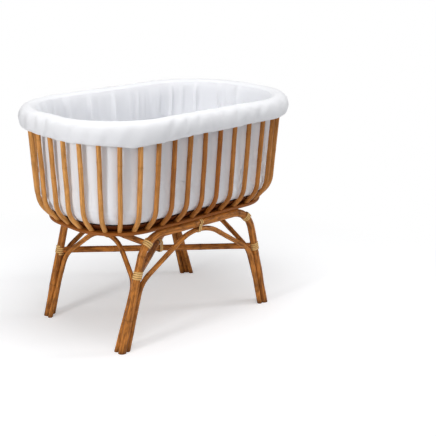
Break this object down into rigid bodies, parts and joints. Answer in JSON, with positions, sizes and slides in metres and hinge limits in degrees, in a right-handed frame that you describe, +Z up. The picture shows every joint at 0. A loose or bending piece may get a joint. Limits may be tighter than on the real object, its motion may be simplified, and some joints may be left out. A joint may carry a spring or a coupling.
{
  "type": "bassinet on stand",
  "caption": "Oval basket of bent upright rattan spindles with a padded white cloth liner and a mattress, resting on a splayed stand of bent poles with arches and crossed stretchers.",
  "frame": {"origin": "on the floor, under the middle of the basket", "axes": "+X along the basket, +Y across it towards the back, +Z up"},
  "size_m": [0.8694, 0.5534, 0.7019],
  "materials": {
    "pole": "clear lacquered rattan pole, mottled brown",
    "spindle": "clear lacquered rattan, honey brown",
    "hoop": "clear lacquered bent wood",
    "band": "dark reddish brown bent wood",
    "slat": "plain sawn slats",
    "cane": "pale split cane",
    "cloth": "plain white woven cotton, padded"
  },
  "bodies": {
    "stand": {"front_u_frame": "pole", "back_u_frame": "pole", "front_arch": "pole", "back_arch": "pole", "left_end_arch": "pole", "right_end_arch": "pole", "left_end_rail": "pole", "right_end_rail": "pole", "lower_stretcher": "pole", "upper_stretcher": "pole", "stretcher_lashings": "cane", "corner_lashings": "cane", "arch_lashings": "cane"},
    "basket": {"spindle_01": "spindle", "spindle_02": "spindle", "spindle_03": "spindle", "spindle_04": "spindle", "spindle_05": "spindle", "spindle_06": "spindle", "spindle_07": "spindle", "spindle_08": "spindle", "spindle_09": "spindle", "spindle_10": "spindle", "spindle_11": "spindle", "spindle_12": "spindle", "spindle_13": "spindle", "spindle_14": "spindle", "spindle_15": "spindle", "spindle_16": "spindle", "spindle_17": "spindle", "spindle_18": "spindle", "spindle_19": "spindle", "spindle_20": "spindle", "spindle_21": "spindle", "spindle_22": "spindle", "spindle_23": "spindle", "spindle_24": "spindle", "spindle_25": "spindle", "spindle_26": "spindle", "spindle_27": "spindle", "spindle_28": "spindle", "spindle_29": "spindle", "spindle_30": "spindle", "spindle_31": "spindle", "spindle_32": "spindle", "spindle_33": "spindle", "spindle_34": "spindle", "spindle_35": "spindle", "spindle_36": "spindle", "spindle_37": "spindle", "spindle_38": "spindle", "top_rim": "spindle", "foot_hoop": "hoop", "base_band": "band", "base_slats": "slat"},
    "liner": {"liner_bag": "cloth", "liner_cuff": "cloth"},
    "mattress": {"mattress": "cloth"}
  },
  "joints": [
    {"name": "basket_lift", "type": "slide", "parent": "stand", "child": "basket", "axis": [0, 0, 1], "range_m": [0, 0.4]},
    {"name": "liner_lift", "type": "slide", "parent": "basket", "child": "liner", "axis": [0, 0, 1], "range_m": [0, 0.36]},
    {"name": "mattress_lift", "type": "slide", "parent": "liner", "child": "mattress", "axis": [0, 0, 1], "range_m": [0, 0.36]}
  ]
}
